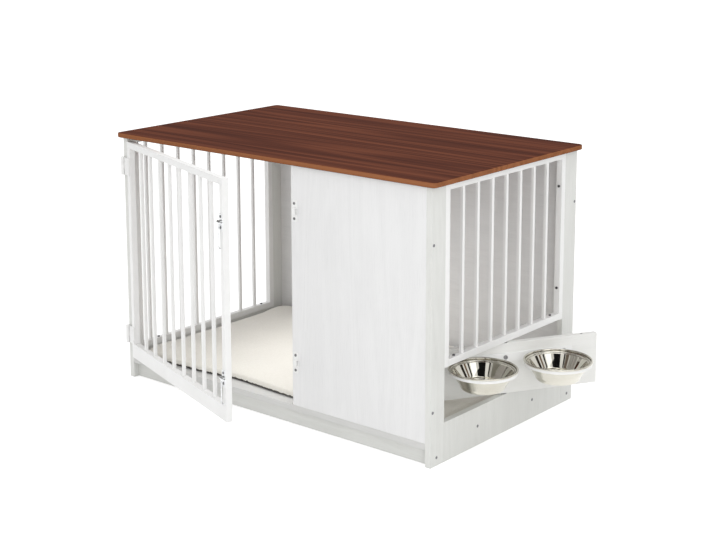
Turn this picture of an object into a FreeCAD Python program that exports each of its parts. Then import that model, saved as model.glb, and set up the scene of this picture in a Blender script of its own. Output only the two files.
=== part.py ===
"""Slatted crate that serves as an end table, with a side-hung door and a swinging feeder.

Units are millimetres.  +X runs along the long front, +Y from the front to the back, +Z up.
The origin lies on the floor, at the middle of the front plinth's underside.
"""
import FreeCAD, Part
import math
import os

V = FreeCAD.Vector

# ---- driving dimensions ------------------------------------------------------------------

# outer size
top_length = 1000.0
top_depth = 596.0
top_thickness = 12.0
top_height = 640.0
top_corner_radius = 12.0
top_edge_radius = 2.5
overhang_side = 15.0
overhang_front = 11.0
overhang_back = 5.0

# boards
board = 15.0
post_width = 50.0
hinge_post_width = 20.0
plinth_height = 39.0
plinth_setback = 15.0
right_base_height = 92.0
left_base_height = 69.0
front_panel_left = 83.0
board_edge_radius = 0.8

# steel grilles in the two ends
tube = 16.0
bar = 8.0
right_bar_count = 7
left_bar_count = 8
right_grille_bottom = 217.0
tube_edge_radius = 1.2
upper_bolt_drop = 82.0
lower_bolt_fall = 18.0

# door, drawn shut and then turned to its rest angle
door_rest_angle = 19.4
door_side_gap = 2.0
door_latch_gap = 3.0
door_floor_gap = 2.0
door_head_gap = 8.0
door_kick_height = 38.0
door_bar_count = 8

# hinges
hinge_height = 44.0
lower_hinge_inset = 60.0
upper_hinge_inset = 64.0
hinge_axis_forward = 5.0
knuckle_radius = 4.4
hinge_pin_radius = 2.2
leaf_thickness = 2.0
leaf_gap = 0.3
running_clearance = 0.05

# latches
lower_latch_inset = 103.5
upper_latch_inset = 99.0
latch_plate_height = 38.0
latch_plate_margin = 0.5
fitting_sheet = 1.5
bolt_radius = 2.5
bolt_lift = 4.3
barrel_wall = 1.4
bolt_length = 24.0
barrel_nose = 1.5
slot_margin = 0.5
grip_radius = 1.5
grip_drop = 60.0
grip_curl_radius = 5.0
grip_tail = 6.0
grip_slot_clearance = 0.3
latch_screw_offset = 12.5
keeper_width = 15.0
keeper_height = 50.0
keeper_offset = 3.5
keeper_loop_half = 6.5
keeper_loop_width = 9.5
keeper_loop_gap = 5.6
keeper_strap = 1.5
keeper_screw_offset = 18.0

# screws and bolts
screw_head_radius = 3.2
screw_head_height = 1.0
screw_cross_length = 3.8
screw_cross_width = 0.8
screw_cross_depth = 0.7
cap_radius = 3.4
cap_height = 0.5
lower_cap_inset = 72.0
upper_cap_inset = 128.0
floor_cap_offset = 112.0
bolt_head_radius = 3.1
bolt_head_height = 2.4
hex_socket_width = 3.0
hex_socket_depth = 1.5
strip_bolt_radius = 5.0

# feeder
feeder_rest_angle = 59.0
feeder_gap = 2.0
feeder_end_gap = 3.0
pivot_radius = 3.0
pivot_depth = 11.0
pivot_collar_radius = 8.0
pivot_collar_height = 1.5
strip_length = 340.0
strip_height = 20.0
strip_thickness = 3.0
strip_rise = 4.0
ring_spacing = 186.0
ring_reach = 92.0
ring_outer_radius = 77.0
ring_wall = 2.5
ring_height = 6.0
ring_drop = 27.0
ring_arm_width = 40.0
feeder_end_hole_inset = 38.0
feeder_end_plug_radius = 2.5

# bowls
bowl_rim_radius = 79.0
bowl_throat_radius = 74.0
bowl_shoulder_radius = 70.5
bowl_flare_height = 3.0
bowl_base_radius = 42.0
bowl_heel_radius = 10.0
bowl_depth = 46.0
bowl_wall = 1.2
bowl_bead_radius = 2.2
bowl_seat_gap = 0.3

# floor cushion
cushion_front_inset = 19.0
cushion_side_gap = 12.0
cushion_back_gap = 4.0
cushion_side_height = 24.0
cushion_crown = 12.0
cushion_side_bulge = 8.0
cushion_corner_radius = 36.0

# ---- places worked out from them -----------------------------------------------------------

body_height = top_height - top_thickness
half_width = top_length / 2 - overhang_side
y_front = -(plinth_setback + board / 2)
y_back = y_front + top_depth - overhang_front - overhang_back
y_mid = (y_front + y_back) / 2
inner_half = half_width - board
floor_top = plinth_height + board
opening_front = y_front + post_width
opening_rear = y_back - post_width
bar_pitch = (opening_rear - opening_front - 2 * tube) / (right_bar_count + 1)
cap_levels = (floor_top + lower_cap_inset, body_height - upper_cap_inset)

door_left = -inner_half + door_side_gap
door_right = front_panel_left - door_latch_gap
door_bottom = floor_top + door_floor_gap
door_top = body_height - door_head_gap
hinge_x = -half_width
hinge_y = y_front - hinge_axis_forward
hinge_levels = (door_bottom + lower_hinge_inset, door_top - upper_hinge_inset)
latch_levels = {"lower": door_bottom + lower_latch_inset, "upper": door_top - upper_latch_inset}

pivot_x = half_width - board / 2
feeder_bottom = right_base_height + feeder_gap
feeder_top = right_grille_bottom - feeder_gap
feeder_half = (opening_rear - opening_front) / 2 - feeder_end_gap
ring_top_level = feeder_top - ring_drop
strip_level = ring_top_level + strip_rise - strip_height

os.makedirs("parts", exist_ok=True)


# ---- helpers ---------------------------------------------------------------------------------

def block(x0, x1, y0, y1, z0, z1):
    """Box between two corners."""
    return Part.makeBox(x1 - x0, y1 - y0, z1 - z0, V(x0, y0, z0))


def eased(shape, radius):
    """Round every edge of a plain board or tube."""
    return shape.makeFillet(radius, shape.Edges)


def plank(x0, x1, y0, y1, z0, z1):
    """Board with eased edges."""
    return eased(block(x0, x1, y0, y1, z0, z1), board_edge_radius)


def steel(x0, x1, y0, y1, z0, z1):
    """Square tube with rounded long edges, cut square at its ends."""
    shape = block(x0, x1, y0, y1, z0, z1)
    sides = sorted((x1 - x0, y1 - y0, z1 - z0))
    long_edges = [e for e in shape.Edges if abs(e.Length - sides[-1]) < 1e-6]
    return shape.makeFillet(tube_edge_radius, long_edges)


def rod(radius, length, start, direction):
    """Round rod from start along direction."""
    return Part.makeCylinder(radius, length, start, direction)


def turned(shape, x, y, degrees):
    """Copy turned about the vertical line through x, y."""
    copy = shape.copy()
    copy.rotate(V(x, y, 0), V(0, 0, 1), degrees)
    return copy


def save(node, shape):
    """Write one sub-part and report its size."""
    shape.exportStep(f"parts/{node}.step")
    box = shape.BoundBox
    print(f"{node}: {len(shape.Solids)} solid(s), valid {shape.isValid()}, "
          f"{box.XLength:.1f} x {box.YLength:.1f} x {box.ZLength:.1f}")


def save_door(node, shape):
    """Write a piece drawn on the shut door, turned to the rest angle."""
    save(node, turned(shape, hinge_x, hinge_y, -door_rest_angle))


def save_feeder(node, shape):
    """Write a piece drawn on a feeder that lies along +X, turned to the rest angle."""
    placed = shape.copy()
    placed.translate(V(pivot_x, y_mid, 0))
    save(node, turned(placed, pivot_x, y_mid, feeder_rest_angle))


# ---- table top -------------------------------------------------------------------------------

def make_table_top():
    """Slab with rounded corners and eased rims."""
    slab = block(-top_length / 2, top_length / 2, y_front - overhang_front, y_back + overhang_back,
                 body_height, top_height)
    upright = [e for e in slab.Edges if abs(e.Length - top_thickness) < 1e-6]
    slab = slab.makeFillet(top_corner_radius, upright)
    rims = [e for e in slab.Edges if e.BoundBox.ZLength < 1e-6]
    return slab.makeFillet(top_edge_radius, rims)


save("table_top", make_table_top())


# ---- boards ------------------------------------------------------------------------------------

save("front_right_post", plank(inner_half, half_width, y_front, opening_front, 0, body_height))
save("rear_right_post", plank(inner_half, half_width, opening_rear, y_back, 0, body_height))
save("rear_left_post", plank(-half_width, -inner_half, opening_rear, y_back, 0, body_height))
save("front_left_post", plank(-half_width, -inner_half, y_front, y_front + hinge_post_width,
                              0, body_height))
save("right_base_board", plank(inner_half, half_width, opening_front, opening_rear,
                               0, right_base_height))
save("left_base_board", plank(-half_width, -inner_half, y_front + hinge_post_width, opening_rear,
                              0, left_base_height))
save("front_panel", plank(front_panel_left, inner_half, y_front, y_front + board,
                          floor_top, body_height))
save("back_panel", plank(-inner_half, inner_half, y_back - board, y_back, floor_top, body_height))
save("floor_board", plank(-inner_half, inner_half, y_front, y_back, plinth_height, floor_top))
save("front_plinth", plank(-inner_half, inner_half, y_front + plinth_setback,
                           y_front + plinth_setback + board, 0, plinth_height))
save("back_plinth", plank(-inner_half, inner_half, y_back - plinth_setback - board,
                          y_back - plinth_setback, 0, plinth_height))


# ---- end grilles ---------------------------------------------------------------------------------

def save_grille(side, x0, y_start, z_start, bar_count):
    """Frame of two rails and two stiles, with upright bars counted from the rear stile."""
    x1 = x0 + tube
    save(f"{side}_grille_front_stile", steel(x0, x1, y_start, y_start + tube, z_start, body_height))
    save(f"{side}_grille_rear_stile", steel(x0, x1, opening_rear - tube, opening_rear,
                                            z_start, body_height))
    rail_span = (y_start + tube, opening_rear - tube)
    save(f"{side}_grille_top_rail", steel(x0, x1, *rail_span, body_height - tube, body_height))
    save(f"{side}_grille_bottom_rail", steel(x0, x1, *rail_span, z_start, z_start + tube))
    middle = x0 + tube / 2
    bars = []
    for step in range(1, bar_count + 1):
        y = opening_rear - tube - step * bar_pitch
        bars.append(steel(middle - bar / 2, middle + bar / 2, y - bar / 2, y + bar / 2,
                          z_start + tube, body_height - tube))
    save(f"{side}_grille_bars", Part.makeCompound(bars))


save_grille("right", half_width - tube, opening_front, right_grille_bottom, right_bar_count)
save_grille("left", -half_width, y_front + hinge_post_width, left_base_height, left_bar_count)


def hex_bolt_head(centre, direction, radius=bolt_head_radius):
    """Round bolt head with a six-sided socket, standing on a face at centre."""
    head = rod(radius, bolt_head_height, centre, direction)
    reach = hex_socket_width / math.sqrt(3)
    angles = [math.radians(60 * corner) for corner in range(7)]
    outline = Part.makePolygon([V(reach * math.cos(a), reach * math.sin(a), 0) for a in angles])
    socket = Part.Face(outline).extrude(V(0, 0, hex_socket_depth))
    socket.Placement = FreeCAD.Placement(
        centre + direction * (bolt_head_height - hex_socket_depth),
        FreeCAD.Rotation(V(0, 0, 1), direction))
    return head.cut(socket)


def stile_bolts(x, y_start):
    """Four bolt heads on the stiles' inner sides, at two levels."""
    heads = []
    for z in (body_height / 2 - lower_bolt_fall, body_height - upper_bolt_drop):
        heads.append(hex_bolt_head(V(x, y_start + tube, z), V(0, 1, 0)))
        heads.append(hex_bolt_head(V(x, opening_rear - tube, z), V(0, -1, 0)))
    return heads


def rail_bolts(x, z, direction):
    """Two bolt heads on a rail, midway between two bars near each end."""
    inset = tube + bar_pitch / 2
    return [hex_bolt_head(V(x, y, z), direction)
            for y in (opening_front + inset, opening_rear - inset)]


up, down = V(0, 0, 1), V(0, 0, -1)
right_middle, left_middle = half_width - tube / 2, -half_width + tube / 2
save("right_grille_bolts", Part.makeCompound(
    stile_bolts(right_middle, opening_front)
    + rail_bolts(right_middle, right_grille_bottom + tube, up)))
save("left_grille_bolts", Part.makeCompound(
    rail_bolts(left_middle, left_base_height + tube, up)
    + rail_bolts(left_middle, body_height - tube, down)))


# ---- screw caps on the two ends --------------------------------------------------------------------

def make_end_caps(x, direction, panel_places):
    """Flat caps over the screws that join an end to the panels, plinths and floor."""
    plinth_inset = plinth_setback + board / 2
    spots = [(y, level) for y in panel_places for level in cap_levels]
    spots += [(y, plinth_height / 2) for y in (y_front + plinth_inset, y_back - plinth_inset)]
    spots += [(y_mid + side * floor_cap_offset, floor_top - board / 2) for side in (-1, 1)]
    return Part.makeCompound([rod(cap_radius, cap_height, V(x, y, z), direction)
                              for y, z in spots])


front_panel_middle = y_front + board / 2
back_panel_middle = y_back - board / 2
save("right_end_caps", make_end_caps(half_width, V(1, 0, 0),
                                     (front_panel_middle, back_panel_middle)))
save("left_end_caps", make_end_caps(-half_width, V(-1, 0, 0), (back_panel_middle,)))


# ---- door frame ------------------------------------------------------------------------------------

y_door_back = y_front + tube
y_door_middle = y_front + tube / 2
kick_top = door_bottom + door_kick_height
latch_stile_left = door_right - tube

save_door("door_hinge_stile", steel(door_left, door_left + tube, y_front, y_door_back,
                                    kick_top, door_top))
save_door("door_latch_stile", steel(latch_stile_left, door_right, y_front, y_door_back,
                                    kick_top, door_top))
save_door("door_top_rail", steel(door_left + tube, latch_stile_left, y_front, y_door_back,
                                 door_top - tube, door_top))
save_door("door_kick_rail", steel(door_left, door_right, y_front, y_door_back,
                                  door_bottom, kick_top))


def make_door_bars():
    """Upright bars spread evenly between the two stiles."""
    span = latch_stile_left - door_left - tube
    pitch = span / (door_bar_count + 1)
    bars = []
    for step in range(1, door_bar_count + 1):
        x = door_left + tube + step * pitch
        bars.append(steel(x - bar / 2, x + bar / 2, y_door_middle - bar / 2,
                          y_door_middle + bar / 2, kick_top, door_top - tube))
    return Part.makeCompound(bars)


save_door("door_bars", make_door_bars())


# ---- hinges ------------------------------------------------------------------------------------------

def knuckle(level, start, end):
    """Hollow barrel round the hinge axis between two heights measured from the hinge's middle."""
    base = V(hinge_x, hinge_y, level + start)
    outer = rod(knuckle_radius, end - start, base, V(0, 0, 1))
    return outer.cut(rod(hinge_pin_radius + running_clearance, end - start, base, V(0, 0, 1)))


def pinhole(level):
    """Clearance bore through the whole hinge."""
    return rod(hinge_pin_radius + running_clearance, hinge_height,
               V(hinge_x, hinge_y, level - hinge_height / 2), V(0, 0, 1))


def make_door_leaf(level):
    """Middle knuckle with a leaf that crosses the post's edge to the door's stile."""
    half_tongue = hinge_height / 6 - leaf_gap / 2
    back = y_front - leaf_gap
    front = back - leaf_thickness
    tongue = block(hinge_x, door_left, front, back, level - half_tongue, level + half_tongue)
    leaf = block(hinge_x + knuckle_radius + leaf_gap, door_left + tube, front, back,
                 level - hinge_height / 2, level + hinge_height / 2)
    pad = block(door_left, door_left + tube, back, y_front,
                level - hinge_height / 2, level + hinge_height / 2)
    shape = knuckle(level, -half_tongue, half_tongue).fuse([tongue, leaf, pad])
    for side in (-1, 1):
        head = rod(screw_head_radius, screw_head_height,
                   V(door_left + tube / 2, front, level + side * hinge_height / 3), V(0, -1, 0))
        shape = shape.fuse(head)
    return shape.cut(pinhole(level)).removeSplitter()


def make_post_leaf(level):
    """Two outer knuckles, the pin's two heads and a leaf on the post's outer side."""
    half_tongue = hinge_height / 6 + leaf_gap / 2
    half = hinge_height / 2
    outside = hinge_x - leaf_thickness
    shape = block(outside, hinge_x, y_front, y_front + hinge_post_width - leaf_gap,
                  level - half, level + half)
    for low, high in ((-half, -half_tongue), (half_tongue, half)):
        strap = block(outside, hinge_x, hinge_y, y_front, level + low, level + high)
        shape = shape.fuse([strap, knuckle(level, low, high)])
    for side in (-1, 1):
        head = rod(screw_head_radius, screw_head_height,
                   V(outside, y_front + hinge_post_width / 2, level + side * hinge_height / 3),
                   V(-1, 0, 0))
        shape = shape.fuse(head)
    return shape.cut(pinhole(level)).removeSplitter()


def make_hinge_pin(level):
    """Pin with a low round head at each end."""
    half = hinge_height / 2
    pin = rod(hinge_pin_radius, hinge_height, V(hinge_x, hinge_y, level - half), V(0, 0, 1))
    heads = [rod(knuckle_radius, leaf_thickness / 2, V(hinge_x, hinge_y, level + z), V(0, 0, 1))
             for z in (half, -half - leaf_thickness / 2)]
    return pin.fuse(heads).removeSplitter()


for name, level in zip(("lower", "upper"), hinge_levels):
    save_door(f"{name}_door_leaf", make_door_leaf(level))
    save(f"{name}_post_leaf", make_post_leaf(level))
    save(f"{name}_hinge_pin", make_hinge_pin(level))


# ---- door latches --------------------------------------------------------------------------------------

bolt_y = y_front - bolt_lift
barrel_start = latch_stile_left + latch_plate_margin
barrel_end = door_right - latch_plate_margin
bolt_bore = bolt_radius + running_clearance
keeper_left = front_panel_left + keeper_offset


def cross_screws(x, level, offset):
    """Two cross-recessed screw heads on a fitting's sheet, above and below its level."""
    face = y_front - fitting_sheet
    half_length, half_slit = screw_cross_length / 2, screw_cross_width / 2
    front = face - screw_head_height
    heads = []
    for z in (level - offset, level + offset):
        head = rod(screw_head_radius, screw_head_height, V(x, face, z), V(0, -1, 0))
        bottom = front + screw_cross_depth
        flat = block(x - half_length, x + half_length, front, bottom, z - half_slit, z + half_slit)
        tall = block(x - half_slit, x + half_slit, front, bottom, z - half_length, z + half_length)
        heads.append(head.cut(flat.fuse(tall)))
    return Part.makeCompound(heads)


def make_latch_plate(level):
    """Plate and a barrel whose lower slot lets the grip slide sideways."""
    plate = block(barrel_start, barrel_end, y_front - fitting_sheet, y_front,
                  level - latch_plate_height / 2, level + latch_plate_height / 2)
    start = V(barrel_start, bolt_y, level)
    shape = plate.fuse(rod(bolt_bore + barrel_wall, barrel_end - barrel_start, start, V(1, 0, 0)))
    half_slot = grip_radius + grip_slot_clearance
    slot = block(barrel_start, barrel_end - barrel_nose, bolt_y - half_slot, bolt_y + half_slot,
                 level - bolt_bore - 2 * barrel_wall, level)
    bore = rod(bolt_bore, barrel_end - barrel_start, start, V(1, 0, 0))
    return shape.cut([bore, slot]).removeSplitter()


def make_latch_bolt(level):
    """Round bolt with a hanging grip whose foot turns towards the bolt's nose."""
    bolt = rod(bolt_radius, bolt_length, V(barrel_start, bolt_y, level), V(1, 0, 0))
    grip_x = barrel_start + grip_radius + slot_margin
    foot = level - grip_drop + grip_curl_radius
    grip = rod(grip_radius, level - foot, V(grip_x, bolt_y, foot), V(0, 0, 1))
    centre = V(grip_x + grip_curl_radius, bolt_y, foot)
    curl = Part.Face(Part.Wire(Part.makeCircle(grip_radius, V(grip_x, bolt_y, foot), V(0, 0, 1))))
    curl = curl.revolve(centre, V(0, 1, 0), -90)
    tail = rod(grip_radius, grip_tail, centre - V(0, 0, grip_curl_radius), V(1, 0, 0))
    return bolt.fuse([grip, curl, tail]).removeSplitter()


def make_keeper(level):
    """Plate on the panel's edge with a raised loop for the bolt on the side away from the door."""
    x0, x1 = keeper_left, keeper_left + keeper_width
    half_plate = keeper_height / 2
    plate = block(x0, x1, y_front - fitting_sheet, y_front, level - half_plate, level + half_plate)
    outer = keeper_loop_half + keeper_strap
    front = y_front - fitting_sheet - keeper_loop_gap
    loop = x1 - keeper_loop_width
    hump = block(loop, x1, front - keeper_strap, y_front, level - outer, level + outer)
    gap = block(loop, x1, front, y_front - fitting_sheet,
                level - keeper_loop_half, level + keeper_loop_half)
    return plate.fuse(hump).cut(gap).removeSplitter()


for name, level in latch_levels.items():
    save_door(f"{name}_latch_plate", make_latch_plate(level))
    save_door(f"{name}_latch_bolt", make_latch_bolt(level))
    save(f"{name}_keeper", make_keeper(level))
    save_door(f"{name}_latch_screws",
              cross_screws((barrel_start + barrel_end) / 2, level, latch_screw_offset))
    save(f"{name}_keeper_screws",
         cross_screws(keeper_left + keeper_width / 2, level, keeper_screw_offset))


# ---- swinging feeder ---------------------------------------------------------------------------------------
# drawn about its own pivot, with the board along X and the bowls on its -Y side

feeder_face = -board / 2


def make_feeder_board():
    """Board with a blind pivot bore in its upper and lower edge and a plug hole at each end."""
    shape = plank(-feeder_half, feeder_half, feeder_face, board / 2, feeder_bottom, feeder_top)
    bore = pivot_radius + running_clearance
    depth = pivot_depth + running_clearance
    return shape.cut([rod(bore, depth, V(0, 0, feeder_bottom), V(0, 0, 1)),
                      rod(bore, depth, V(0, 0, feeder_top), V(0, 0, -1))])


def make_pivot(face_level, direction):
    """Pin with a collar that stands on the frame and enters the feeder's edge."""
    start = V(pivot_x, y_mid, face_level)
    collar = rod(pivot_collar_radius, pivot_collar_height, start, direction)
    pin = rod(pivot_radius, feeder_gap + pivot_depth, start, direction)
    return collar.fuse(pin).removeSplitter()


def make_feeder_strip():
    """Flat strip on the board's face that carries both rings."""
    return block(-strip_length / 2, strip_length / 2, feeder_face - strip_thickness, feeder_face,
                 strip_level, strip_level + strip_height)


def make_feeder_bolts():
    """Bolt heads along the strip: one at its middle and one near each end."""
    reach = strip_length / 2 - strip_height
    return Part.makeCompound([
        hex_bolt_head(V(x, feeder_face - strip_thickness, strip_level + strip_height / 2),
                      V(0, -1, 0), strip_bolt_radius) for x in (-reach, 0, reach)])


def make_ring(x):
    """Band that holds one bowl, with a short arm back to the strip."""
    base = V(x, -ring_reach, ring_top_level - ring_height)
    band = rod(ring_outer_radius, ring_height, base, V(0, 0, 1))
    hole = rod(ring_outer_radius - ring_wall, ring_height, base, V(0, 0, 1))
    arm = block(x - ring_arm_width / 2, x + ring_arm_width / 2, -ring_reach,
                feeder_face - strip_thickness, ring_top_level - ring_height, ring_top_level)
    arm = arm.cut(block(x - ring_arm_width / 2, x + ring_arm_width / 2, -ring_reach,
                        feeder_face - strip_thickness, ring_top_level - ring_height,
                        ring_top_level - ring_wall))
    return band.fuse(arm).cut(hole).removeSplitter()


def make_bowl(x):
    """Spun bowl: flat base, round heel, steep side, flared lip and a rolled bead."""
    wall, heel = bowl_wall, bowl_heel_radius
    seat = ring_top_level + bowl_seat_gap
    lip = seat + bowl_bead_radius
    foot = lip - bowl_depth
    rim = bowl_rim_radius - bowl_bead_radius
    slant = math.sqrt(0.5)
    half_flare = (bowl_throat_radius - bowl_shoulder_radius) / 3

    def skin(offset):
        """Line from the axis to the rim, moved off the outside by offset."""
        floor = foot + offset
        round_heel = heel - offset
        heel_middle = V(bowl_base_radius + round_heel * slant, 0, foot + heel - round_heel * slant)
        heel_top = V(bowl_base_radius + round_heel, 0, foot + heel)
        shoulder = V(bowl_shoulder_radius - offset, 0, seat - bowl_flare_height)
        bend = V(bowl_shoulder_radius + half_flare - offset, 0, seat - bowl_flare_height / 3 + offset)
        throat = V(bowl_throat_radius - offset / 2, 0, seat + offset)
        return [Part.makeLine(V(0, 0, floor), V(bowl_base_radius, 0, floor)),
                Part.Arc(V(bowl_base_radius, 0, floor), heel_middle, heel_top).toShape(),
                Part.makeLine(heel_top, shoulder),
                Part.Arc(shoulder, bend, throat).toShape(),
                Part.makeLine(throat, V(rim, 0, seat + offset))]

    closing = [Part.makeLine(V(0, 0, foot), V(0, 0, foot + wall)),
               Part.makeLine(V(rim, 0, seat), V(rim, 0, seat + wall))]
    section = Part.Face(Part.Wire(Part.__sortEdges__(skin(0) + skin(wall) + closing)))
    shell = section.revolve(V(0, 0, 0), V(0, 0, 1), 360)
    bead = Part.makeTorus(rim, bowl_bead_radius, V(0, 0, lip))
    shape = Part.Solid(shell).fuse(bead).removeSplitter()
    shape.translate(V(x, -ring_reach, 0))
    return shape


def make_end_plugs():
    """Small plugs in the board's upper edge, one near each end."""
    reach = feeder_half - feeder_end_hole_inset
    return Part.makeCompound([rod(feeder_end_plug_radius, cap_height, V(x, 0, feeder_top),
                                  V(0, 0, 1)) for x in (-reach, reach)])


save_feeder("feeder_board", make_feeder_board())
save("upper_feeder_pivot", make_pivot(right_grille_bottom, V(0, 0, -1)))
save("lower_feeder_pivot", make_pivot(right_base_height, V(0, 0, 1)))
save_feeder("feeder_strip", make_feeder_strip())
save_feeder("feeder_bolts", make_feeder_bolts())
save_feeder("feeder_end_plugs", make_end_plugs())
for name, x in (("front", -ring_spacing / 2), ("rear", ring_spacing / 2)):
    save_feeder(f"{name}_bowl_ring", make_ring(x))
    save_feeder(f"{name}_bowl", make_bowl(x))


# ---- cushion -------------------------------------------------------------------------------------------------

def crowned_prism(length, width):
    """Long prism with bulged ends and a crowned top, lying along +Y from the origin."""
    half = width / 2
    side = cushion_side_height
    points = {
        "low": V(half - cushion_side_bulge, 0, 0),
        "bulge": V(half, 0, side / 2),
        "shoulder": V(half - cushion_side_bulge, 0, side),
    }
    mirrored = {key: V(-p.x, 0, p.z) for key, p in points.items()}
    crown = V(0, 0, side + cushion_crown)
    outline = Part.Wire([
        Part.makeLine(mirrored["low"], points["low"]),
        Part.Arc(points["low"], points["bulge"], points["shoulder"]).toShape(),
        Part.Arc(points["shoulder"], crown, mirrored["shoulder"]).toShape(),
        Part.Arc(mirrored["shoulder"], mirrored["bulge"], mirrored["low"]).toShape(),
    ])
    return Part.Face(outline).extrude(V(0, length, 0))


def make_cushion():
    """Boxed floor cushion: crowned along both directions, with rounded corners in plan."""
    width = 2 * (inner_half - cushion_side_gap)
    front = y_front + cushion_front_inset
    back = y_back - board - cushion_back_gap
    depth = back - front
    along = crowned_prism(depth, width)
    across = crowned_prism(width, depth)
    across.rotate(V(0, 0, 0), V(0, 0, 1), 90)
    across.translate(V(width / 2, depth / 2, 0))
    plan = block(-width / 2, width / 2, 0, depth, 0, cushion_side_height + cushion_crown)
    upright = [e for e in plan.Edges if e.BoundBox.XLength + e.BoundBox.YLength < 1e-6]
    plan = plan.makeFillet(cushion_corner_radius, upright)
    shape = along.common(across).common(plan)
    shape.translate(V(0, front, floor_top))
    return shape


save("cushion", make_cushion())
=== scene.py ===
"""Looks of a slatted crate that serves as an end table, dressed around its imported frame.

Everything is in metres in the frame's own axes: +X along the long front, +Y from the front
to the back, +Z up, with the origin on the floor under the middle of the front plinth.
"""
import math

import bpy
import numpy as np
from mathutils import Matrix, Vector


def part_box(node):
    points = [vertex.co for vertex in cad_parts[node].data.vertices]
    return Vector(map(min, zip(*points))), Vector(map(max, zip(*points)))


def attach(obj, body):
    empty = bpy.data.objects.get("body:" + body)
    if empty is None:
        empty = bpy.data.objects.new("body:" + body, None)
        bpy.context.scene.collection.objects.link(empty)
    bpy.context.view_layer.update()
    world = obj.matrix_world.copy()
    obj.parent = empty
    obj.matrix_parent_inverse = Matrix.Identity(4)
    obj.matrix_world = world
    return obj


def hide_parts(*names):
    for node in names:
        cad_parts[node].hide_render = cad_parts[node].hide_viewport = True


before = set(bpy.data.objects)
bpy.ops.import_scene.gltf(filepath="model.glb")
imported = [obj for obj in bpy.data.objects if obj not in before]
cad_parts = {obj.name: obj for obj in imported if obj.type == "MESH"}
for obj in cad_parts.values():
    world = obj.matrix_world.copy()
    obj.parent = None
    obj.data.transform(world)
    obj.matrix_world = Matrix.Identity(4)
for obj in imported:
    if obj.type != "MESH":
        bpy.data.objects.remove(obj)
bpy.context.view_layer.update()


# ---- camera -------------------------------------------------------------------------------------
# The camera stands off the right front corner, a little above the slab, and is set from the
# photograph's straight edges: focal length and centre in pixels, place in metres.

photo_width, photo_height = 716, 540
focal_pixels = 1486.5
centre_pixels = (351.9, 150.0)
camera_place = (2.3201, -2.4803, 1.2717)
camera_turn, camera_dip, camera_roll = (math.radians(a) for a in (39.904, 10.426, -0.144))
sensor_width = 36.0

camera_data = bpy.data.cameras.new("photo_camera")
camera_data.sensor_width = sensor_width
camera_data.lens = focal_pixels / photo_width * sensor_width
camera_data.shift_x = (photo_width / 2 - centre_pixels[0]) / photo_width
camera_data.shift_y = (centre_pixels[1] - photo_height / 2) / photo_width
camera_data.clip_end = 60
camera = bpy.data.objects.new("photo_camera", camera_data)
camera.matrix_world = (Matrix.Translation(camera_place)
                       @ Matrix.Rotation(camera_turn, 4, "Z")
                       @ Matrix.Rotation(math.pi / 2 - camera_dip, 4, "X")
                       @ Matrix.Rotation(camera_roll, 4, "Z"))
bpy.context.scene.collection.objects.link(camera)
bpy.context.scene.camera = camera


# ---- white boards -------------------------------------------------------------------------------
# Posts, panels, plinths and floor are 15 mm particle board with a white foil that is printed
# and embossed with a faint wood grain.  They are screwed together edge to face.

def shader_node(tree, kind, wires=None, **settings):
    """Shader node with its settings, and a value or another node's socket for each named input."""
    made = tree.nodes.new("ShaderNode" + kind)
    for name, value in settings.items():
        setattr(made, name, value)
    for key, value in (wires or {}).items():
        if isinstance(value, bpy.types.NodeSocket):
            tree.links.new(value, made.inputs[key])
        else:
            made.inputs[key].default_value = value
    return made


def effect_group(name, inputs, outputs):
    """Empty shader node group with float inputs, one vector input and float outputs."""
    tree = bpy.data.node_groups.new(name, "ShaderNodeTree")
    tree.interface.new_socket("Vector", in_out="INPUT", socket_type="NodeSocketVector")
    for label in inputs:
        tree.interface.new_socket(label, in_out="INPUT", socket_type="NodeSocketFloat")
    for label in outputs:
        tree.interface.new_socket(label, in_out="OUTPUT", socket_type="NodeSocketFloat")
    return tree, tree.nodes.new("NodeGroupInput"), tree.nodes.new("NodeGroupOutput")


def make_wood_figure():
    """Grain that runs along the vector's Z.

    Figure is the sine of a stretched noise, so its level lines nest as cut growth rings do.
    Streak is a fine noise stretched fifty times, and Pores are the peaks of a finer one.
    """
    tree, given, result = effect_group("wood_figure", ("Rings",), ("Figure", "Streak", "Pores"))
    vector = given.outputs["Vector"]
    board_long = shader_node(tree, "Mapping", {"Vector": vector, "Scale": (1, 1, 0.13)})
    bulk = shader_node(tree, "TexNoise", {"Vector": board_long.outputs[0], "Scale": 8.0,
                                          "Detail": 2.5, "Roughness": 0.5, "Distortion": 0.5})
    phase = shader_node(tree, "Math", {0: bulk.outputs[0], 1: given.outputs["Rings"]},
                        operation="MULTIPLY")
    wave = shader_node(tree, "Math", {0: phase.outputs[0]}, operation="SINE")
    figure = shader_node(tree, "MapRange", {"Value": wave.outputs[0], "From Min": -1.0})
    fine = shader_node(tree, "Mapping", {"Vector": vector, "Scale": (1, 1, 0.02)})
    streak = shader_node(tree, "TexNoise", {"Vector": fine.outputs[0], "Scale": 260.0,
                                            "Detail": 4.0, "Roughness": 0.65})
    finer = shader_node(tree, "Mapping", {"Vector": vector, "Scale": (1, 1, 0.03)})
    dots = shader_node(tree, "TexNoise", {"Vector": finer.outputs[0], "Scale": 900.0,
                                          "Detail": 1.0})
    pores = shader_node(tree, "MapRange", {"Value": dots.outputs[0], "From Min": 0.58,
                                           "From Max": 0.70})
    tree.links.new(figure.outputs[0], result.inputs["Figure"])
    tree.links.new(streak.outputs[0], result.inputs["Streak"])
    tree.links.new(pores.outputs[0], result.inputs["Pores"])
    return tree


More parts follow.
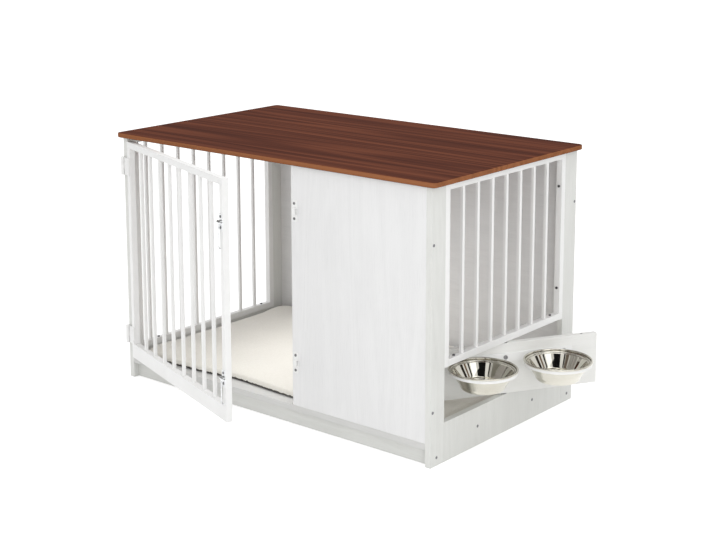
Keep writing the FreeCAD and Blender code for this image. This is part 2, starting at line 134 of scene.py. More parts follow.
def make_handling_marks():
    """Mask of faint uneven patches a hand's width across, as wiping and touching leave."""
    tree, given, result = effect_group("handling_marks", ("Size",), ("Mask",))
    wide = shader_node(tree, "TexNoise", {"Vector": given.outputs["Vector"],
                                          "Scale": given.outputs["Size"],
                                          "Detail": 5.0, "Roughness": 0.6})
    mask = shader_node(tree, "MapRange", {"Value": wide.outputs[0], "From Min": 0.38,
                                          "From Max": 0.68})
    tree.links.new(mask.outputs[0], result.inputs["Mask"])
    return tree


wood_figure = make_wood_figure()
handling_marks = make_handling_marks()


def new_material(name):
    """Node material; returns it with its tree and its Principled shader."""
    material = bpy.data.materials.new(name)
    material.use_nodes = True
    tree = material.node_tree
    shader = next(n for n in tree.nodes if n.type == "BSDF_PRINCIPLED")
    return material, tree, shader


def use_group(tree, group, vector, **values):
    """Places an effect group in a material, fed by a vector and its own values."""
    made = shader_node(tree, "Group", node_tree=group)
    tree.links.new(vector, made.inputs["Vector"])
    for label, value in values.items():
        made.inputs[label].default_value = value
    return made


def turned_coordinates(tree, rotation, offset=(0, 0, 0)):
    """Object coordinates turned so that a pattern's Z lies where the rotation says."""
    place = shader_node(tree, "TexCoord")
    turned = shader_node(tree, "Mapping", {"Vector": place.outputs["Object"],
                                           "Rotation": rotation, "Location": offset})
    return turned.outputs[0]


def weighted(tree, parts):
    """Sum of sockets, each times its weight."""
    total = None
    for socket, weight in parts:
        if total is None:
            made = shader_node(tree, "Math", {0: socket, 1: weight}, operation="MULTIPLY")
        else:
            made = shader_node(tree, "Math", {0: socket, 1: weight, 2: total},
                               operation="MULTIPLY_ADD")
        total = made.outputs[0]
    return total


def mixed_colour(tree, factor, first, second):
    """Colour mix of two colours or colour sockets."""
    made = shader_node(tree, "Mix", {0: factor, 6: first, 7: second}, data_type="RGBA")
    return made.outputs[2]


def wear_finish(nodes, material):
    """Puts one material on the named pieces of the frame."""
    for name in nodes:
        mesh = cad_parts[name].data
        mesh.materials.clear()
        mesh.materials.append(material)


# Each board's colour runs between two tones, bare foil and printed grain.
panel_tones = ((0.85, 0.85, 0.85, 1), (0.74, 0.74, 0.74, 1))
frame_tones = ((0.775, 0.78, 0.755, 1), (0.66, 0.665, 0.635, 1))
# The feeder board's tones are raised as painted light, making up for the shade inside the cabin.
feeder_painted_light_tones = ((0.87, 0.87, 0.848, 1), (0.76, 0.76, 0.735, 1))
# The floor board's tones are lowered as painted shade, for the shade it lies in under the cushion's
# edge.
floor_painted_shade_tones = ((0.67, 0.67, 0.655, 1), (0.585, 0.585, 0.57, 1))
board_tones = {"front_panel": panel_tones, "back_panel": panel_tones,
               "feeder_board": feeder_painted_light_tones, "floor_board": floor_painted_shade_tones}
grain_upright = (0, 0, 0)
grain_along_front = (0, math.pi / 2, 0)
feeder_turn = math.radians(59.0)
grain_along_feeder = tuple((Matrix.Rotation(math.pi / 2, 3, "Y")
                            @ Matrix.Rotation(-feeder_turn, 3, "Z")).to_euler())


def white_foil(name, tones, rotation, offset):
    """Printed grain in the colour, embossed grain in the bump, and a satin sheen."""
    material, tree, shader = new_material(name)
    vector = turned_coordinates(tree, rotation, offset)
    wood = use_group(tree, wood_figure, vector, Rings=62.0)
    marks = use_group(tree, handling_marks, vector, Size=7.0)
    print_mask = weighted(tree, ((wood.outputs["Figure"], 0.17), (wood.outputs["Streak"], 0.42),
                                 (wood.outputs["Pores"], 0.30), (marks.outputs["Mask"], 0.10)))
    tree.links.new(mixed_colour(tree, print_mask, *tones), shader.inputs["Base Color"])
    relief = weighted(tree, ((wood.outputs["Streak"], -0.5), (wood.outputs["Pores"], -1.0),
                             (wood.outputs["Figure"], -0.15)))
    bump = shader_node(tree, "Bump", {"Strength": 0.35, "Distance": 0.0003, "Height": relief})
    tree.links.new(bump.outputs[0], shader.inputs["Normal"])
    sheen = shader_node(tree, "MapRange", {"Value": marks.outputs["Mask"], "To Min": 0.42,
                                           "To Max": 0.52})
    tree.links.new(sheen.outputs[0], shader.inputs["Roughness"])
    shader.inputs["Specular IOR Level"].default_value = 0.4
    return material


board_grain = {
    "front_right_post": grain_upright, "rear_right_post": grain_upright,
    "rear_left_post": grain_upright, "front_left_post": grain_upright,
    "right_base_board": grain_upright, "left_base_board": grain_upright,
    "front_panel": grain_upright, "back_panel": grain_along_front,
    "floor_board": grain_along_front, "front_plinth": grain_along_front,
    "back_plinth": grain_along_front, "feeder_board": grain_along_feeder,
}
for count, (board, rotation) in enumerate(board_grain.items()):
    offset = (0.37 * count, 0.61 * count, 0.23 * count)
    tones = board_tones.get(board, frame_tones)
    wear_finish([board], white_foil("foil_" + board, tones, rotation, offset))


# ---- walnut slab --------------------------------------------------------------------------------
# The slab is a 12 mm board with a dark walnut print, its grain along the length.  Its edge
# band is a lighter orange-brown, and the top has the dull satin of a resin-bonded paper.

walnut_dark = (0.042, 0.0135, 0.0095, 1)
walnut_middle = (0.100, 0.031, 0.0185, 1)
walnut_light = (0.190, 0.062, 0.032, 1)
band_dark = (0.170, 0.062, 0.026, 1)
band_light = (0.370, 0.150, 0.068, 1)


def walnut_print():
    """Figured print on the faces and a plainer, lighter band where the surface stands upright."""
    material, tree, shader = new_material("walnut_slab")
    vector = turned_coordinates(tree, grain_along_front)
    slow = shader_node(tree, "Mapping", {"Vector": vector, "Scale": (0.8, 0.8, 0.2)})
    wood = use_group(tree, wood_figure, slow.outputs[0], Rings=85.0)
    broad = shader_node(tree, "Mapping", {"Vector": vector, "Scale": (0.38, 0.38, 0.14)})
    broad_wood = use_group(tree, wood_figure, broad.outputs[0], Rings=85.0)
    marks = use_group(tree, handling_marks, vector, Size=5.0)
    tone = weighted(tree, ((wood.outputs["Figure"], 0.22), (wood.outputs["Streak"], 0.18),
                           (broad_wood.outputs["Streak"], 0.72)))
    ramp = shader_node(tree, "ValToRGB", {"Fac": tone})
    stops = ramp.color_ramp.elements
    stops[0].position, stops[0].color = 0.25, walnut_dark
    stops[1].position, stops[1].color = 0.85, walnut_light
    middle = stops.new(0.55)
    middle.color = walnut_middle
    pore_mask = weighted(tree, ((wood.outputs["Pores"], 0.25),))
    face = mixed_colour(tree, pore_mask, ramp.outputs[0], walnut_dark)
    band = mixed_colour(tree, tone, band_dark, band_light)
    facing = shader_node(tree, "SeparateXYZ",
                         {0: shader_node(tree, "TexCoord").outputs["Normal"]})
    upright = shader_node(tree, "Math", {0: facing.outputs["Z"]}, operation="ABSOLUTE")
    is_band = shader_node(tree, "MapRange", {"Value": upright.outputs[0], "From Min": 0.75,
                                             "From Max": 0.55})
    tree.links.new(mixed_colour(tree, is_band.outputs[0], face, band),
                   shader.inputs["Base Color"])
    relief = weighted(tree, ((wood.outputs["Pores"], -1.0), (wood.outputs["Streak"], -0.4)))
    bump = shader_node(tree, "Bump", {"Strength": 0.12, "Distance": 0.0002, "Height": relief})
    tree.links.new(bump.outputs[0], shader.inputs["Normal"])
    rough = shader_node(tree, "MapRange", {"Value": marks.outputs["Mask"], "To Min": 0.44,
                                           "To Max": 0.56})
    tree.links.new(rough.outputs[0], shader.inputs["Roughness"])
    shader.inputs["Specular IOR Level"].default_value = 0.0
    shader.inputs["Coat Weight"].default_value = 0.035
    shader.inputs["Coat Roughness"].default_value = 0.22
    return material


wear_finish(["table_top"], walnut_print())


# ---- steel grilles, door frame and feeder fittings ----------------------------------------------
# Square steel tube and bar, welded and powder coated white, and so are the hinges and the
# latch keepers.  The coat is smooth with a fine orange peel, glossier than the boards' foil.

coat_white = (0.88, 0.88, 0.872, 1)
coat_shade = (0.80, 0.80, 0.785, 1)


def powder_coat():
    """White coat with orange peel in the bump and faint unevenness in colour and gloss."""
    material, tree, shader = new_material("powder_coat")
    vector = shader_node(tree, "TexCoord").outputs["Object"]
    marks = use_group(tree, handling_marks, vector, Size=14.0)
    faint = weighted(tree, ((marks.outputs["Mask"], 0.35),))
    tree.links.new(mixed_colour(tree, faint, coat_white, coat_shade), shader.inputs["Base Color"])
    peel = shader_node(tree, "TexNoise", {"Vector": vector, "Scale": 1400.0, "Detail": 1.0})
    bump = shader_node(tree, "Bump", {"Strength": 0.3, "Distance": 0.00008,
                                      "Height": peel.outputs[0]})
    tree.links.new(bump.outputs[0], shader.inputs["Normal"])
    gloss = shader_node(tree, "MapRange", {"Value": marks.outputs["Mask"], "To Min": 0.28,
                                           "To Max": 0.38})
    tree.links.new(gloss.outputs[0], shader.inputs["Roughness"])
    return material


grille_parts = ("front_stile", "rear_stile", "top_rail", "bottom_rail", "bars")
coated = [f"{side}_grille_{part}" for side in ("right", "left") for part in grille_parts]
coated += ["door_hinge_stile", "door_latch_stile", "door_top_rail", "door_kick_rail", "door_bars"]
coated += [f"{level}_{leaf}" for level in ("lower", "upper") for leaf in ("door_leaf", "post_leaf")]
coated += ["feeder_strip", "front_bowl_ring", "rear_bowl_ring", "lower_hinge_pin",
           "upper_hinge_pin", "lower_keeper", "upper_keeper"]
wear_finish(coated, powder_coat())


# ---- bolts, pins and screw caps -----------------------------------------------------------------
# The feeder's bolts and pivots are zinc plated steel, the grille bolts are blackened, the
# cross-recessed screws are dull steel, and the caps and plugs are grey moulded plastic.

def plated_metal(name, colour, roughness, speckle):
    """Bare metal with fine speckle in its colour and gloss."""
    material, tree, shader = new_material(name)
    vector = shader_node(tree, "TexCoord").outputs["Object"]
    marks = use_group(tree, handling_marks, vector, Size=260.0)
    dull = tuple(c * (1 - speckle) for c in colour[:3]) + (1,)
    tree.links.new(mixed_colour(tree, marks.outputs["Mask"], colour, dull),
                   shader.inputs["Base Color"])
    gloss = shader_node(tree, "MapRange", {"Value": marks.outputs["Mask"],
                                           "To Min": roughness, "To Max": roughness * 1.5})
    tree.links.new(gloss.outputs[0], shader.inputs["Roughness"])
    shader.inputs["Metallic"].default_value = 1.0
    return material


def moulded_plastic(name, colour):
    """Plastic with a fine moulded texture."""
    material, tree, shader = new_material(name)
    vector = shader_node(tree, "TexCoord").outputs["Object"]
    grain = shader_node(tree, "TexNoise", {"Vector": vector, "Scale": 2600.0, "Detail": 2.0})
    paler = tuple(min(1.0, c * 1.25) for c in colour[:3]) + (1,)
    tree.links.new(mixed_colour(tree, grain.outputs[0], colour, paler),
                   shader.inputs["Base Color"])
    bump = shader_node(tree, "Bump", {"Strength": 0.25, "Distance": 0.0001,
                                      "Height": grain.outputs[0]})
    tree.links.new(bump.outputs[0], shader.inputs["Normal"])
    shader.inputs["Roughness"].default_value = 0.45
    return material


wear_finish(["lower_feeder_pivot", "upper_feeder_pivot", "feeder_bolts"],
            plated_metal("zinc_plate", (0.30, 0.30, 0.30, 1), 0.34, 0.25))
wear_finish(["right_grille_bolts", "left_grille_bolts"],
            plated_metal("blackened_steel", (0.17, 0.17, 0.175, 1), 0.38, 0.3))
wear_finish(["lower_latch_screws", "upper_latch_screws", "lower_keeper_screws",
             "upper_keeper_screws"],
            plated_metal("dull_steel", (0.28, 0.28, 0.285, 1), 0.38, 0.3))
wear_finish(["right_end_caps", "left_end_caps", "feeder_end_plugs"],
            moulded_plastic("cap_plastic", (0.16, 0.16, 0.17, 1)))


# ---- door latches -------------------------------------------------------------------------------
# Each latch is a bright plated barrel on a small plate, with a sliding bolt whose grip hangs
# down and turns towards the bolt's nose.

latch_nodes = [f"{level}_{part}" for level in ("lower", "upper")
               for part in ("latch_plate", "latch_bolt")]
wear_finish(latch_nodes, plated_metal("bright_plate", (0.80, 0.81, 0.82, 1), 0.27, 0.06))


# ---- feeding bowls ------------------------------------------------------------------------------
# Each bowl is spun from thin stainless sheet: mirror bright inside, softly brushed outside,
# with a rolled bead at its lip that rests on the feeder's ring.

bowl_rim_radius = 0.079
bowl_bead_radius = 0.0022
bowl_throat_radius = 0.074
bowl_shoulder_radius = 0.0705
bowl_flare_height = 0.003
bowl_base_radius = 0.042
bowl_heel_radius = 0.010
bowl_wall = 0.0012
bowl_side_swell = 0.0006
bowl_steps = 160


def arc_through(first, middle, last, count):
    """Points of the circle through three points, evenly spaced in angle from first to last."""
    (ax, ay), (bx, by), (cx, cy) = first, middle, last
    area = 2 * (ax * (by - cy) + bx * (cy - ay) + cx * (ay - by))
    sa, sb, sc = ax * ax + ay * ay, bx * bx + by * by, cx * cx + cy * cy
    ox = (sa * (by - cy) + sb * (cy - ay) + sc * (ay - by)) / area
    oy = (sa * (cx - bx) + sb * (ax - cx) + sc * (bx - ax)) / area
    start, end = (math.atan2(y - oy, x - ox) for x, y in (first, last))
    angles = np.linspace(start, end, count)
    radius = math.hypot(ax - ox, ay - oy)
    return np.stack([ox + radius * np.cos(angles), oy + radius * np.sin(angles)], axis=1)


def bowl_profile(foot, seat):
    """Radius and height of the section, from the axis outside, round the bead, to the axis inside.

    The skin is a flat base, a quarter-circle heel, a straight steep side with a faint swell
    and an arc for the flare; the inside is the same line moved in by the sheet's thickness.
    """
    bend_run = (bowl_throat_radius - bowl_shoulder_radius) / 3

    def skin(offset):
        heel = bowl_heel_radius - offset
        turn = np.linspace(-math.pi / 2, 0, 12)
        flat = np.stack([np.linspace(0, bowl_base_radius, 8)[:-1], np.full(7, foot + offset)], 1)
        round_heel = np.stack([bowl_base_radius + heel * np.cos(turn),
                               foot + bowl_heel_radius + heel * np.sin(turn)], 1)
        shoulder = np.array([bowl_shoulder_radius - offset, seat - bowl_flare_height])
        along = np.linspace(0, 1, 16)[1:, None]
        side = round_heel[-1] + (shoulder - round_heel[-1]) * along
        side[:, 0] += bowl_side_swell * np.sin(math.pi * along[:, 0])
        flare = arc_through(tuple(shoulder), (bowl_shoulder_radius + bend_run - offset,
                                              seat - bowl_flare_height / 3 + offset),
                            (bowl_throat_radius - offset / 2, seat + offset), 14)[1:]
        return np.concatenate([flat, round_heel, side, flare])

    bead_centre = bowl_rim_radius - bowl_bead_radius
    roll = np.linspace(-math.pi / 2, math.pi * 0.93, 18)
    bead = np.stack([bead_centre + bowl_bead_radius * np.cos(roll),
                     seat + bowl_bead_radius * (1 + np.sin(roll))], 1)
    outside = np.concatenate([skin(0.0), bead])
    return np.concatenate([outside, skin(bowl_wall)[::-1]]), len(outside) - 6


def spun_surface(name, centre, profile, inner_start, materials):
    """Profile turned about the upright line through centre.

    Point (i, j) lies at the profile's radius i, in direction 2 pi j / steps.  The two ends
    on the axis are single points, closed with fans.
    """
    angles = np.linspace(0, 2 * math.pi, bowl_steps, endpoint=False)
    rings = profile[1:-1]
    x = centre[0] + rings[:, :1] * np.cos(angles)
    y = centre[1] + rings[:, :1] * np.sin(angles)
    z = np.repeat(rings[:, 1:], bowl_steps, axis=1)
    grid = np.stack([x, y, z], axis=2).reshape(-1, 3)
    poles = np.array([[centre[0], centre[1], z] for z in (profile[0, 1], profile[-1, 1])])
    points = np.concatenate([grid, poles])
    row, step = np.meshgrid(np.arange(len(rings) - 1), np.arange(bowl_steps), indexing="ij")
    after = (step + 1) % bowl_steps
    quads = np.stack([row * bowl_steps + step, row * bowl_steps + after,
                      (row + 1) * bowl_steps + after, (row + 1) * bowl_steps + step], axis=2)
    first, last = len(grid), len(grid) + 1
    around = np.arange(bowl_steps)
    nearest = (around + 1) % bowl_steps
    top_row = (len(rings) - 1) * bowl_steps
    low_fan = np.stack([np.full(bowl_steps, first), nearest, around], axis=1)
    high_fan = np.stack([np.full(bowl_steps, last), top_row + around, top_row + nearest], axis=1)
    faces = quads.reshape(-1, 4).tolist() + low_fan.tolist() + high_fan.tolist()
    mesh = bpy.data.meshes.new(name)
    mesh.from_pydata(points.tolist(), [], faces)
    is_inside = np.concatenate([(row.ravel() >= inner_start), np.zeros(bowl_steps, bool),
                                np.ones(bowl_steps, bool)]).astype(np.int32)
    for material in materials:
        mesh.materials.append(material)
    mesh.polygons.foreach_set("material_index", is_inside)
    mesh.polygons.foreach_set("use_smooth", np.ones(len(faces), bool))
    mesh.update()
    piece = bpy.data.objects.new(name, mesh)
    bpy.context.scene.collection.objects.link(piece)
    return piece


# The steel's tones are warmer and darker than bare stainless: a painted reflection of the warm, dim
# surroundings the bowls mirror.
steel_tone_with_painted_reflection = (0.66, 0.64, 0.575, 1)
steel_patch_with_painted_reflection = (0.57, 0.55, 0.48, 1)


def stainless(name, roughness, ridge_strength):
    """Stainless sheet with turning lines round the bowl, read from height alone."""
    material, tree, shader = new_material(name)
    vector = shader_node(tree, "TexCoord").outputs["Object"]
    marks = use_group(tree, handling_marks, vector, Size=9.0)
    tree.links.new(mixed_colour(tree, marks.outputs["Mask"], steel_tone_with_painted_reflection, steel_patch_with_painted_reflection),
                   shader.inputs["Base Color"])
    upward = shader_node(tree, "Mapping", {"Vector": vector, "Scale": (0.01, 0.01, 1)})
    lines = shader_node(tree, "TexNoise", {"Vector": upward.outputs[0], "Scale": 2200.0,
                                           "Detail": 2.0})
    bump = shader_node(tree, "Bump", {"Strength": ridge_strength, "Distance": 0.00005,
                                      "Height": lines.outputs[0]})
    tree.links.new(bump.outputs[0], shader.inputs["Normal"])
    gloss = shader_node(tree, "MapRange", {"Value": marks.outputs["Mask"],
                                           "To Min": roughness, "To Max": roughness * 1.6})
    tree.links.new(gloss.outputs[0], shader.inputs["Roughness"])
    shader.inputs["Metallic"].default_value = 1.0
    return material


bowl_finishes = (stainless("stainless_brushed", 0.17, 0.15),
                 stainless("stainless_mirror", 0.05, 0.05))
for end in ("front", "rear"):
    low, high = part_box(f"{end}_bowl")
    middle = (low + high) / 2
    profile, inner_start = bowl_profile(low.z, high.z - 2 * bowl_bead_radius)
    bowl = spun_surface(f"{end}_spun_bowl", middle, profile, inner_start, bowl_finishes)
    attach(bowl, f"{end}_bowl")
    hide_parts(f"{end}_bowl")


# ---- floor cushion ------------------------------------------------------------------------------
# A fleece pad about 35 mm thick that covers the floor: a cream pile cover over soft filling,
# with rounded sides, and a near-black ragged line at its foot: partly the dark cloth underneath,
# partly painted shadow of the gap under the pad's edge.

cushion_low, cushion_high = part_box("cushion")
pad_inset = 0.0005
pad_lift = 0.0004
pad_shoulder_height = 0.020
pad_crown = 0.007
pad_upper_draw = 0.010
pad_lower_draw = 0.001
pad_foot_rise = 0.003
pad_foot_fade = 0.008
pad_corner = 0.025
pad_voxel = 0.007
pad_cap = 0.0085
pad_pressure = 4.0
pad_frames = 20
pad_slack_depth = 0.11
pad_top_fade = 0.012


def rounded_outline(half_x, half_y, corner, count):
    """Points round a rectangle with quarter-circle corners, spaced evenly by angle and side."""
    quarter = np.linspace(0, math.pi / 2, count)
    arcs = []
    for turn, (sx, sy) in enumerate(((1, 1), (-1, 1), (-1, -1), (1, -1))):
        angle = quarter + turn * math.pi / 2
        arcs.append(np.stack([sx * (half_x - corner) + corner * np.cos(angle),
                              sy * (half_y - corner) + corner * np.sin(angle)], axis=1))
    return np.concatenate(arcs)


def pad_shell():
    """Closed pad: the plan outline drawn in more and more with height, from the bottom's
    middle, up the side, to the crowned top's middle."""
    centre = (cushion_low + cushion_high) / 2
    half_x = (cushion_high.x - cushion_low.x) / 2 - pad_inset
    half_y = (cushion_high.y - cushion_low.y) / 2 - pad_inset
    outline = rounded_outline(half_x, half_y, pad_corner, 10)
    base, shoulder = cushion_low.z + pad_lift, cushion_low.z + pad_shoulder_height
    side = np.linspace(-math.pi / 2, math.pi / 2, 9)
    inset = np.where(side > 0, pad_upper_draw, pad_lower_draw) * (1 - np.cos(side))
    heights = (base + shoulder) / 2 + (shoulder - base) / 2 * np.sin(side)
    flat = np.linspace(0.05, 0.95, 9)
    bottom = [(outline * f, base) for f in flat]
    sides = [(outline - np.sign(outline) * i, z) for i, z in zip(inset, heights)]
    top = [(outline * f, shoulder + pad_crown * (1 - f ** 4)) for f in flat[::-1]]
    rows = bottom + sides + top
    count = len(outline)
    points = np.concatenate([np.column_stack([centre.x + p[:, 0], centre.y + p[:, 1],
                                              np.full(count, z)]) for p, z in rows])
    ends = np.array([[centre.x, centre.y, base], [centre.x, centre.y, shoulder + pad_crown]])
    row, step = np.meshgrid(np.arange(len(rows) - 1), np.arange(count), indexing="ij")
    after = (step + 1) % count
    quads = np.stack([row * count + step, row * count + after, (row + 1) * count + after,
                      (row + 1) * count + step], axis=2).reshape(-1, 4)
    around, nearest = np.arange(count), (np.arange(count) + 1) % count
    top_row = (len(rows) - 1) * count
    low_fan = np.stack([np.full(count, len(points)), nearest, around], axis=1)
    high_fan = np.stack([np.full(count, len(points) + 1), top_row + around, top_row + nearest], 1)
    mesh = bpy.data.meshes.new("pad_shell")
    mesh.from_pydata(np.concatenate([points, ends]).tolist(), [],
                     quads.tolist() + low_fan.tolist() + high_fan.tolist())
    return mesh


def mesh_points(mesh):
    """Vertex places as an array."""
    places = np.empty(len(mesh.vertices) * 3)
    mesh.vertices.foreach_get("co", places)
    return places.reshape(-1, 3)


def set_mesh_points(mesh, places):
    """Writes vertex places from an array."""
    mesh.vertices.foreach_set("co", places.ravel())
    mesh.update()


def finished_mesh(piece):
    """The piece's mesh with its modifiers applied."""
    graph = bpy.context.evaluated_depsgraph_get()
    return bpy.data.meshes.new_from_object(piece.evaluated_get(graph))


def filled_pad():
    """Remeshed shell blown up as cloth by inner pressure, each point moved at most the cap.

    Points near the floor keep their height, so that the pad still rests on its whole foot.
    """
    pad = bpy.data.objects.new("fleece_cushion", pad_shell())
    bpy.context.scene.collection.objects.link(pad)
    remesh = pad.modifiers.new("even", "REMESH")
    remesh.mode, remesh.voxel_size = "VOXEL", pad_voxel
    even = finished_mesh(pad)
    pad.modifiers.clear()
    pad.data = even
    start = mesh_points(even)
    cloth = pad.modifiers.new("filling", "CLOTH")
    cloth.settings.use_pressure = True
    cloth.settings.uniform_pressure_force = pad_pressure
    cloth.settings.effector_weights.gravity = 0.0
    cloth.settings.quality = 4
    cloth.settings.tension_stiffness = 8.0
    cloth.settings.bending_stiffness = 0.3
    for step in range(1, pad_frames + 1):
        bpy.context.scene.frame_set(step)
    blown = mesh_points(finished_mesh(pad))
    pad.modifiers.clear()
    bpy.context.scene.frame_set(1)
    move = blown - start
    length = np.linalg.norm(move, axis=1, keepdims=True)
    move *= np.minimum(1.0, pad_cap / np.maximum(length, 1e-9))
    height = start[:, 2] - cushion_low.z
    move[:, 2] *= np.clip((height - pad_foot_rise) / pad_foot_fade, 0, 1)
    start = start + move
    return pad, start


def soft_waves(places):
    """Gentle unevenness of a used pad: a sum of long sines, in metres."""
    x, y = places[:, 0], places[:, 1]
    return (0.0011 * np.sin(13.0 * x + 4.0 * y + 1.3) + 0.0009 * np.sin(9.0 * y - 17.0 * x + 0.4)
            + 0.0006 * np.sin(37.0 * x + 21.0 * y + 2.1) + 0.0005 * np.sin(44.0 * y - 29.0 * x))


def slack_front(places):
    """How far the front edge has crept back, or forward where below nothing: smooth steps
    between measured stations in x, fading out a hand's width behind the edge."""
    stations = np.array([-0.46, -0.31, -0.25, -0.19, -0.15, -0.09, -0.02, 0.06, 0.12, 0.46])
    creep = np.array([-0.010, -0.010, -0.004, 0.004, 0.0145, 0.011, 0.004, 0.0005, -0.002, -0.004])
    fine = np.linspace(-0.46, 0.46, 185)
    smooth = np.convolve(np.pad(np.interp(fine, stations, creep), 8, mode="edge"),
                         np.hanning(19)[1:-1] / np.hanning(19).sum(), mode="valid")
    behind = (places[:, 1] - cushion_low.y) / pad_slack_depth
    return np.interp(places[:, 0], fine, smooth) * np.clip(1 - behind, 0, 1) ** 2


cushion, places = filled_pad()
raised = np.clip((places[:, 2] - cushion_low.z) / pad_top_fade - 1, 0, 1)
places[:, 2] += raised * soft_waves(places)
places[:, 1] += slack_front(places)
low_limit, high_limit = np.array(cushion_low), np.array(cushion_high)
places = np.clip(places, low_limit + 0.0002, high_limit - 0.0006)
set_mesh_points(cushion.data, places)
cushion.data.polygons.foreach_set("use_smooth", np.ones(len(cushion.data.polygons), bool))
smoother = cushion.modifiers.new("smooth", "SUBSURF")
smoother.levels = smoother.render_levels = 1
cushion.data = finished_mesh(cushion)
cushion.modifiers.clear()
cushion.name = "fleece_cushion"


pile_light = (0.90, 0.88, 0.82, 1)
pile_dark = (0.715, 0.69, 0.62, 1)
# Near-black at the pad's foot: the dark underside cloth and painted shadow of the gap under its
# edge.
foot_cloth_and_shadow = (0.030, 0.024, 0.020, 1)


def fleece_cover():
    """Cream pile with clumps in colour and bump, soft sheen, and a near-black band at its foot,
    partly dark cloth and partly painted shadow.
    """
    material, tree, shader = new_material("fleece")
    vector = shader_node(tree, "TexCoord").outputs["Object"]
    clumps = shader_node(tree, "TexNoise", {"Vector": vector, "Scale": 190.0, "Detail": 4.0,
                                            "Roughness": 0.6})
    fibres = shader_node(tree, "TexNoise", {"Vector": vector, "Scale": 1300.0, "Detail": 3.0})
    wide = use_group(tree, handling_marks, vector, Size=9.0)
    tone = weighted(tree, ((clumps.outputs[0], 0.55), (fibres.outputs[0], 0.35),
                           (wide.outputs["Mask"], 0.12)))
    pile = mixed_colour(tree, tone, pile_light, pile_dark)
    height = shader_node(tree, "SeparateXYZ", {0: vector})
    ragged = weighted(tree, ((height.outputs["Z"], 1000.0), (clumps.outputs[0], -9.0)))
    foot_mm = cushion_low.z * 1000
    is_cover = shader_node(tree, "MapRange", {"Value": ragged, "From Min": foot_mm + 1.5,
                                              "From Max": foot_mm + 2.1})
    tree.links.new(mixed_colour(tree, is_cover.outputs[0], foot_cloth_and_shadow, pile),
                   shader.inputs["Base Color"])
    relief = weighted(tree, ((clumps.outputs[0], 1.0), (fibres.outputs[0], 0.4)))
    bump = shader_node(tree, "Bump", {"Strength": 0.8, "Distance": 0.0016, "Height": relief})
    tree.links.new(bump.outputs[0], shader.inputs["Normal"])
    shader.inputs["Roughness"].default_value = 0.95
    shader.inputs["Specular IOR Level"].default_value = 0.15
    shader.inputs["Sheen Weight"].default_value = 0.35
    shader.inputs["Sheen Roughness"].default_value = 0.5
    return material


cushion.data.materials.clear()
cushion.data.materials.append(fleece_cover())
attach(cushion, "frame")
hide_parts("cushion")


# ---- stage: floor, sky and lamps ----------------------------------------------------------------
# A plain white floor that keeps the soft shadow, a white surround for the camera and for
# shiny surfaces, five large soft lamps and a weak one that fills the cabin.

def ray_is_seen(tree):
    """1 for camera, glossy and transmission rays, else 0."""
    rays = shader_node(tree, "LightPath")
    first = shader_node(tree, "Math", {0: rays.outputs["Is Camera Ray"],
                                       1: rays.outputs["Is Glossy Ray"]}, operation="MAXIMUM")
    both = shader_node(tree, "Math", {0: first.outputs[0],
                                      1: rays.outputs["Is Transmission Ray"]}, operation="MAXIMUM")
    return both.outputs[0]


floor_lift = 0.55
floor_mesh = bpy.data.meshes.new("studio_floor")
reach, drop = 14.0, -0.0004
floor_mesh.from_pydata([(-reach, -reach, drop), (reach, -reach, drop), (reach, reach, drop),
                        (-reach, reach, drop)], [], [(0, 1, 2, 3)])
floor = bpy.data.objects.new("studio_floor", floor_mesh)
bpy.context.scene.collection.objects.link(floor)
floor_material, tree, shader = new_material("studio_floor")
shader.inputs["Base Color"].default_value = (0.80, 0.80, 0.80, 1)
shader.inputs["Roughness"].default_value = 0.9
shader.inputs["Specular IOR Level"].default_value = 0.0
shader.inputs["Emission Color"].default_value = (1, 1, 1, 1)
lift = shader_node(tree, "Math", {0: ray_is_seen(tree), 1: floor_lift}, operation="MULTIPLY")
tree.links.new(lift.outputs[0], shader.inputs["Emission Strength"])
floor_mesh.materials.append(floor_material)

world = bpy.data.worlds.new("studio")
bpy.context.scene.world = world
world.use_nodes = True
tree = world.node_tree
sky_light = 0.80
backdrop = next(n for n in tree.nodes if n.type == "BACKGROUND")
backdrop.inputs["Color"].default_value = (1, 1, 1, 1)
strength = shader_node(tree, "MapRange", {"Value": ray_is_seen(tree), "To Min": sky_light,
                                          "To Max": 1.0})
tree.links.new(strength.outputs[0], backdrop.inputs["Strength"])

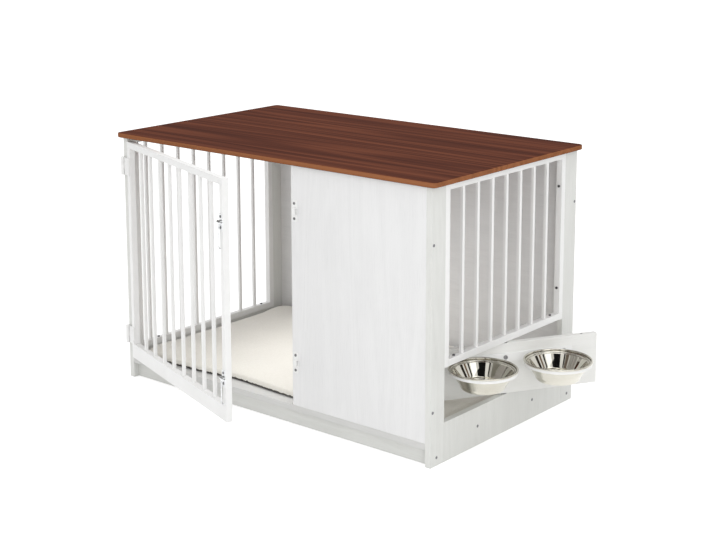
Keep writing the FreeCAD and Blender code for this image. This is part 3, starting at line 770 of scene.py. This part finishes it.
# Each lamp's name, place, target, size in metres, power in watts and spread in degrees.
body_middle = (0.0, 0.27, 0.35)
for name, place, target, size, power, spread in (
    ("key_lamp", (-2.8, -3.4, 2.9), body_middle, 2.4, 15.0, 180),
    ("side_lamp", (4.3, -1.0, 2.4), body_middle, 2.4, 15.0, 180),
    ("top_lamp", (0.2, 0.2, 4.2), (0.2, 0.27, 0.35), 3.0, 38.0, 180),
    ("low_right_lamp", (2.9, -2.3, 0.85), body_middle, 1.6, 22.0, 180),
    ("low_left_lamp", (-2.2, -2.6, 0.80), body_middle, 1.6, 5.0, 180),
    ("cabin_lamp", (0.0, 0.24, 0.60), (0.0, 0.24, 0.0), 0.50, 0.8, 70),
):
    lamp_data = bpy.data.lights.new(name, "AREA")
    lamp_data.shape, lamp_data.size, lamp_data.energy = "SQUARE", size, power
    lamp_data.spread = math.radians(spread)
    lamp = bpy.data.objects.new(name, lamp_data)
    lamp.location = place
    aim = Vector(target) - lamp.location
    lamp.rotation_euler = aim.to_track_quat("-Z", "Y").to_euler()
    lamp.visible_camera = False
    lamp.visible_glossy = name != "cabin_lamp"
    bpy.context.scene.collection.objects.link(lamp)

# Upright flags that only shiny surfaces see, so that polished steel shows its form.  They
# stand in a ring round the feeder; each has its bearing and width in degrees, and its tone.
flag_ring_centre = np.array([0.55, 0.2])
flag_distance = 4.4
flag_height = 7.5

for count, (bearing, width, tone) in enumerate((
    (-46, 42, (0.012, 0.012, 0.013)), (-86, 7, (0.03, 0.028, 0.026)),
    (-101, 20, (0.22, 0.18, 0.15)), (-126, 24, (0.19, 0.175, 0.15)),
    (-173, 46, (0.07, 0.06, 0.05)), (8, 7, (0.02, 0.02, 0.02)),
    (24, 8, (0.26, 0.19, 0.14)), (40, 12, (0.03, 0.025, 0.02)),
)):
    angle = math.radians(bearing)
    outward = np.array([math.cos(angle), math.sin(angle)])
    across = np.array([-math.sin(angle), math.cos(angle)])
    foot = flag_ring_centre + flag_distance * outward
    half = flag_distance * math.tan(math.radians(width / 2))
    left, right = foot - across * half, foot + across * half
    flag_mesh = bpy.data.meshes.new(f"flag_{count}")
    flag_mesh.from_pydata([(*left, 0.0), (*right, 0.0), (*right, flag_height),
                           (*left, flag_height)], [], [(0, 1, 2, 3)])
    flag_material, tree, shader = new_material(f"flag_cloth_{count}")
    shader.inputs["Base Color"].default_value = (*tone, 1)
    shader.inputs["Roughness"].default_value = 1.0
    shader.inputs["Specular IOR Level"].default_value = 0.0
    flag_mesh.materials.append(flag_material)
    flag = bpy.data.objects.new(f"flag_{count}", flag_mesh)
    bpy.context.scene.collection.objects.link(flag)
    flag.visible_camera = flag.visible_diffuse = flag.visible_shadow = False

bpy.context.scene.view_settings.view_transform = "Standard"


# ---- last update --------------------------------------------------------------------------------

bpy.context.view_layer.update()
